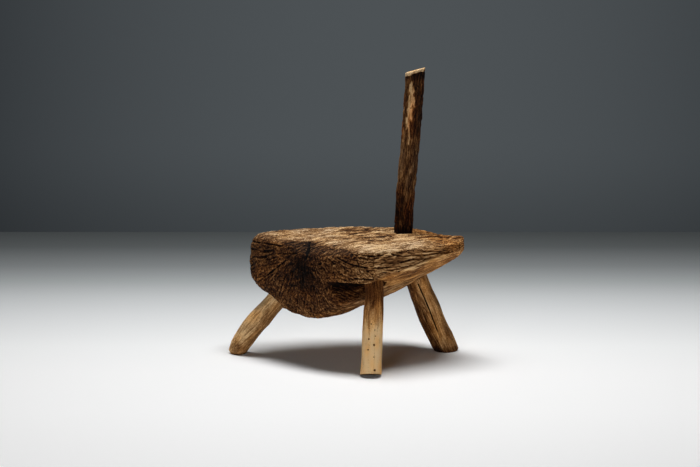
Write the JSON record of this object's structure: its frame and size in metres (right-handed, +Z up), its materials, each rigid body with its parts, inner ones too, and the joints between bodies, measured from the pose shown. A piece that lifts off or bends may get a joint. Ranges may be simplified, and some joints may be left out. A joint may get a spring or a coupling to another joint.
{
  "type": "three-legged chair",
  "caption": "Low rustic chair: half a log, split face up and hewn thin towards the tail, on splayed stick legs driven into blind sockets, with an upright bark-covered stick for a back.",
  "frame": {"origin": "on the floor, under the middle of the chair's bounding box", "axes": "+Z up; -Y the way the sitter faces, towards the sawn end of the log; +Y towards the tail and the back; +X the sitter's left"},
  "size_m": [0.4274, 0.5374, 0.7206],
  "materials": {
    "seat_wood": "weathered, unfinished, open grain",
    "left_leg_wood": "debarked, handled smooth",
    "right_leg_wood": "debarked, handled smooth",
    "rear_leg_wood": "debarked, split along its length by drying",
    "post_bark": "thin dark bark, worn off in patches"
  },
  "bodies": {
    "root": {"seat_block": "seat_wood", "front_leg_left": "left_leg_wood", "front_leg_right": "right_leg_wood", "rear_leg": "rear_leg_wood", "back_post": "post_bark"}
  },
  "joints": []
}
